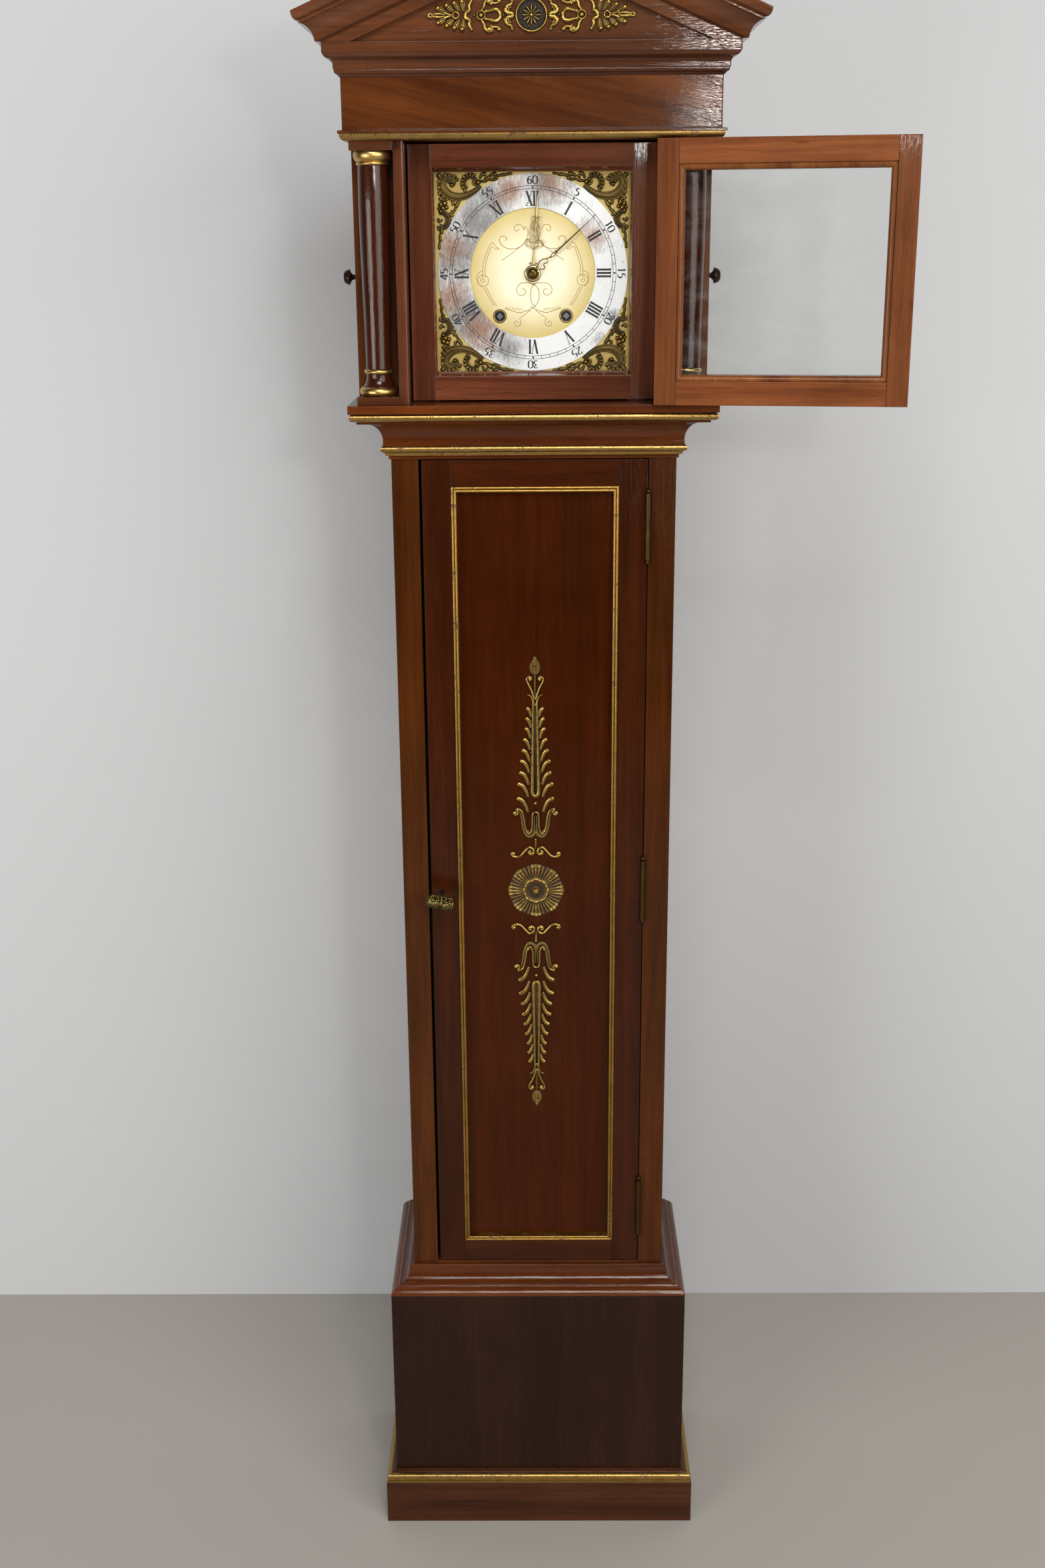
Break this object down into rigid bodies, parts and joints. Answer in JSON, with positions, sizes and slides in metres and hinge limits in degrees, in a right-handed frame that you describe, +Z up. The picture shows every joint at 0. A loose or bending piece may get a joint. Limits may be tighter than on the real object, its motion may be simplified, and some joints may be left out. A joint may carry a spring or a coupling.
{
  "type": "longcase clock",
  "caption": "Tall mahogany floor clock with a columned, pedimented hood, gilt mouldings, square brass dial, glazed hood door standing open and a sprung pendulum movement.",
  "frame": {"origin": "Middle of the underside of the plinth, on the floor: X and Y centred on the plinth skirt.", "axes": "+X to the viewer's right, +Y from the dial towards the wall, +Z up."},
  "size_m": [0.6726, 0.3017, 2.0676],
  "materials": {
    "mahogany": "french polished, reddish brown",
    "mahogany_dark": "french polished, dark red-brown",
    "pine": "unpolished softwood",
    "gilding": "aged water gilding on wood",
    "brass": "polished brass",
    "antique_brass": "cast, toned brass",
    "silvered": "silvered and tarnished",
    "steel": "polished steel",
    "iron": "blackened",
    "glass": "clear, slightly uneven"
  },
  "bodies": {
    "case": {"plinth_base_mouldings": "mahogany", "plinth_box": "mahogany", "plinth_cap_moulding": "mahogany", "trunk_sides": "mahogany", "trunk_front_frame": "mahogany", "back_boards": "pine", "throat_moulding": "mahogany", "gilt_case_mouldings": "gilding", "hood_base_boards": "mahogany", "hood_side_frames": "mahogany", "hood_front_stiles": "mahogany", "column_blocks": "mahogany", "column_shafts": "mahogany_dark", "column_gilt_rings": "gilding", "dial_mask_frame": "mahogany_dark", "entablature_boards": "mahogany", "bed_cornice": "mahogany", "pediment_boards": "mahogany", "raking_cornice": "mahogany", "pediment_ornament": "antique_brass", "case_hinge_halves": "brass", "dial_plate": "brass", "chapter_ring": "silvered", "dial_spandrels": "antique_brass", "seatboard": "pine", "movement_frame": "brass", "gong": "iron"},
    "hood_door": {"hood_door_frame": "mahogany", "hood_door_glass": "glass", "hood_door_beads": "mahogany", "hood_door_fittings": "brass"},
    "trunk_door": {"trunk_door_frame": "mahogany_dark", "trunk_door_panel": "mahogany_dark", "trunk_door_gilt_frame": "gilding", "trunk_door_ornaments": "antique_brass", "trunk_door_hinge_halves": "brass", "trunk_door_lock": "brass"},
    "trunk_key": {"trunk_door_key": "antique_brass"},
    "lock_bolt": {"trunk_lock_bolt": "brass"},
    "left_side_door": {"side_door_left": "mahogany", "side_knob_left": "mahogany_dark"},
    "right_side_door": {"side_door_right": "mahogany", "side_knob_right": "mahogany_dark"},
    "centre_arbor_body": {"centre_arbor": "brass", "minute_hand": "antique_brass"},
    "hour_work": {"hour_wheel": "brass", "hour_hand": "antique_brass"},
    "minute_work": {"minute_wheel": "brass"},
    "intermediate_arbor": {"intermediate_wheel": "brass"},
    "third_arbor": {"third_wheel": "brass"},
    "escape_arbor": {"escape_wheel": "brass"},
    "time_spring_barrel": {"time_barrel": "brass"},
    "time_winder": {"time_winding_arbor": "steel"},
    "strike_spring_barrel": {"strike_barrel": "brass"},
    "strike_winder": {"strike_winding_arbor": "steel"},
    "pin_wheel_arbor": {"pin_wheel": "brass"},
    "fly_arbor": {"strike_fly": "brass"},
    "hammer_arbor": {"hammer": "steel"},
    "pallet_arbor": {"pallets": "steel"},
    "pendulum_body": {"pendulum": "brass"}
  },
  "joints": [
    {"name": "hood_door_swing", "type": "hinge", "parent": "case", "child": "hood_door", "pos_m": [0.1415, -0.107, 1.6908], "axis": [0, 0, 1], "range_deg": [-171, 4]},
    {"name": "trunk_door_swing", "type": "hinge", "parent": "case", "child": "trunk_door", "pos_m": [0.136, -0.081, 0.9338], "axis": [0, 0, 1], "range_deg": [0, 120]},
    {"name": "key_turn", "type": "hinge", "parent": "trunk_door", "child": "trunk_key", "pos_m": [-0.1195, -0.077, 0.9338], "axis": [0, 1, 0], "range_deg": [0, 90]},
    {"name": "lock_bolt_slide", "type": "slide", "parent": "trunk_door", "child": "lock_bolt", "axis": [-1, 0, 0], "range_m": [0, 0.008]},
    {"name": "left_side_door_swing", "type": "hinge", "parent": "case", "child": "left_side_door", "pos_m": [-0.2085, 0.09, 1.6908], "axis": [0, 0, 1], "range_deg": [-110, 0]},
    {"name": "right_side_door_swing", "type": "hinge", "parent": "case", "child": "right_side_door", "pos_m": [0.2085, 0.09, 1.6908], "axis": [0, 0, 1], "range_deg": [0, 110]},
    {"name": "minute_turn", "type": "hinge", "parent": "case", "child": "centre_arbor_body", "pos_m": [0, 0, 1.6908], "axis": [0, 1, 0], "continuous": true},
    {"name": "hour_turn", "type": "hinge", "parent": "case", "child": "hour_work", "pos_m": [0, 0, 1.6908], "axis": [0, 1, 0], "continuous": true},
    {"name": "minute_work_turn", "type": "hinge", "parent": "case", "child": "minute_work", "pos_m": [0, 0, 1.6584], "axis": [0, 1, 0], "continuous": true},
    {"name": "intermediate_turn", "type": "hinge", "parent": "case", "child": "intermediate_arbor", "pos_m": [0.01994, 0, 1.67114], "axis": [0, 1, 0], "continuous": true},
    {"name": "third_turn", "type": "hinge", "parent": "case", "child": "third_arbor", "pos_m": [0.0083, 0, 1.71649], "axis": [0, 1, 0], "continuous": true},
    {"name": "escape_turn", "type": "hinge", "parent": "case", "child": "escape_arbor", "pos_m": [0, 0, 1.7388], "axis": [0, 1, 0], "continuous": true},
    {"name": "time_barrel_turn", "type": "hinge", "parent": "case", "child": "time_spring_barrel", "pos_m": [0.0386, 0, 1.6432], "axis": [0, 1, 0], "continuous": true},
    {"name": "time_winding", "type": "hinge", "parent": "case", "child": "time_winder", "pos_m": [0.0386, 0, 1.6432], "axis": [0, 1, 0], "continuous": true},
    {"name": "pin_wheel_turn", "type": "hinge", "parent": "case", "child": "pin_wheel_arbor", "pos_m": [-0.02206, 0, 1.67244], "axis": [0, 1, 0], "continuous": true},
    {"name": "strike_barrel_turn", "type": "hinge", "parent": "case", "child": "strike_spring_barrel", "pos_m": [-0.0386, 0, 1.6432], "axis": [0, 1, 0], "continuous": true},
    {"name": "strike_winding", "type": "hinge", "parent": "case", "child": "strike_winder", "pos_m": [-0.0386, 0, 1.6432], "axis": [0, 1, 0], "continuous": true},
    {"name": "fly_turn", "type": "hinge", "parent": "case", "child": "fly_arbor", "pos_m": [-0.03524, 0, 1.69623], "axis": [0, 1, 0], "continuous": true},
    {"name": "hammer_swing", "type": "hinge", "parent": "case", "child": "hammer_arbor", "pos_m": [-0.048, 0, 1.7268], "axis": [0, 1, 0], "range_deg": [-20, 0]},
    {"name": "pendulum_swing", "type": "hinge", "parent": "case", "child": "pendulum_body", "pos_m": [0, 0, 1.7648], "axis": [0, 1, 0], "range_deg": [-2.5, 2.5]},
    {"name": "pallet_rock", "type": "hinge", "parent": "case", "child": "pallet_arbor", "pos_m": [0, 0, 1.7648], "axis": [0, 1, 0], "range_deg": [-2.5, 2.5]}
  ],
  "couplings": [
    {"joint": "intermediate_turn", "follows": "minute_turn", "ratio": -0.16667},
    {"joint": "time_barrel_turn", "follows": "minute_turn", "ratio": 0.027778},
    {"joint": "third_turn", "follows": "minute_turn", "ratio": -8},
    {"joint": "escape_turn", "follows": "minute_turn", "ratio": 60},
    {"joint": "minute_work_turn", "follows": "minute_turn", "ratio": -1},
    {"joint": "hour_turn", "follows": "minute_turn", "ratio": 0.083333},
    {"joint": "strike_barrel_turn", "follows": "pin_wheel_turn", "ratio": -0.16667},
    {"joint": "fly_turn", "follows": "pin_wheel_turn", "ratio": -7.5},
    {"joint": "pallet_rock", "follows": "pendulum_swing", "ratio": 1},
    {"joint": "lock_bolt_slide", "follows": "key_turn", "m_per_rad": 0.005093}
  ]
}
